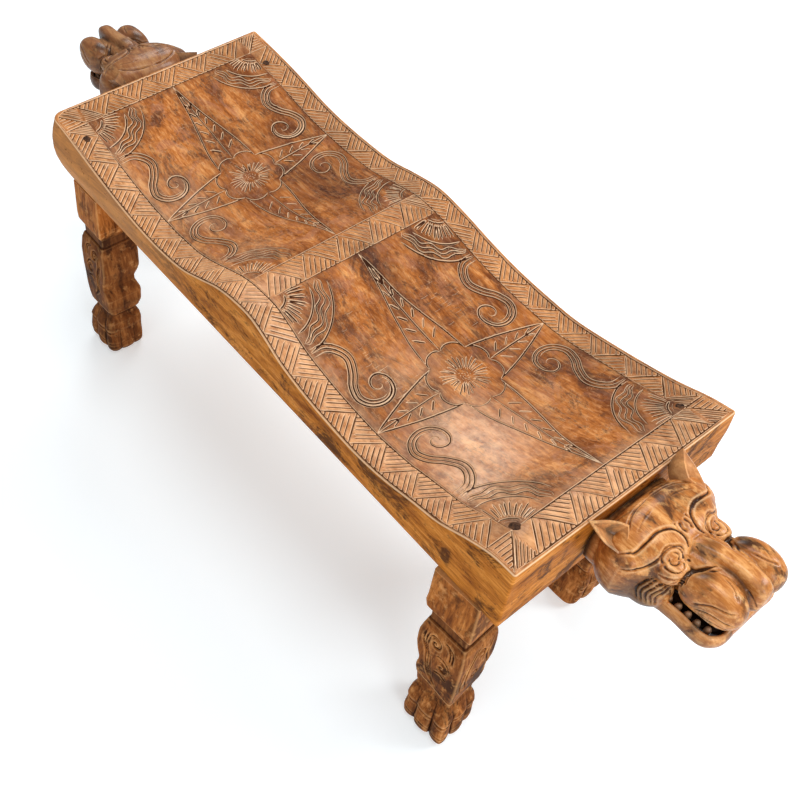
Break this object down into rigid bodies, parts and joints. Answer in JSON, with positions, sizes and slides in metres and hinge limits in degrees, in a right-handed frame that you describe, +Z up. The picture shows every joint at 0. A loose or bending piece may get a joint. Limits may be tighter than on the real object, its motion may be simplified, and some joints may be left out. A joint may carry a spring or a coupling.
{
  "type": "carved wooden bench",
  "caption": "Low wooden bench with a thick, twice-dished seat slab on paw-footed legs and a carved big-cat head on each end, screwed and dowelled together.",
  "frame": {"origin": "on the floor under the middle of the seat slab", "axes": "+X along the bench, towards the near head; +Y across it, towards the far long side in the picture; +Z up"},
  "size_m": [1.3046, 0.399, 0.441],
  "materials": {
    "seat_wood": "glossy varnish over a warm orange-brown stain, dark in the carving",
    "leg_wood": "satin varnish over a warm brown stain with dark scorched patches",
    "head_wood": "satin varnish over a golden-brown stain, dark in the carving",
    "dark_filler": "dull dark wood filler",
    "dowel_wood": "bare pale hardwood",
    "zinc_steel": "bright zinc plating"
  },
  "bodies": {
    "root": {"seat_slab": "seat_wood", "leg_near_left": "leg_wood", "leg_near_right": "leg_wood", "leg_far_left": "leg_wood", "leg_far_right": "leg_wood", "head_near": "head_wood", "head_far": "head_wood", "plug_near_left": "dark_filler", "plug_near_right": "dark_filler", "plug_far_left": "dark_filler", "plug_far_right": "dark_filler", "lag_screw_near_left": "zinc_steel", "lag_screw_near_right": "zinc_steel", "lag_screw_far_left": "zinc_steel", "lag_screw_far_right": "zinc_steel", "washer_near_left": "zinc_steel", "washer_near_right": "zinc_steel", "washer_far_left": "zinc_steel", "washer_far_right": "zinc_steel", "leg_dowel_near_left": "dowel_wood", "leg_dowel_near_right": "dowel_wood", "leg_dowel_far_left": "dowel_wood", "leg_dowel_far_right": "dowel_wood", "head_dowel_near_left": "dowel_wood", "head_dowel_near_right": "dowel_wood", "head_dowel_far_left": "dowel_wood", "head_dowel_far_right": "dowel_wood"}
  },
  "joints": []
}
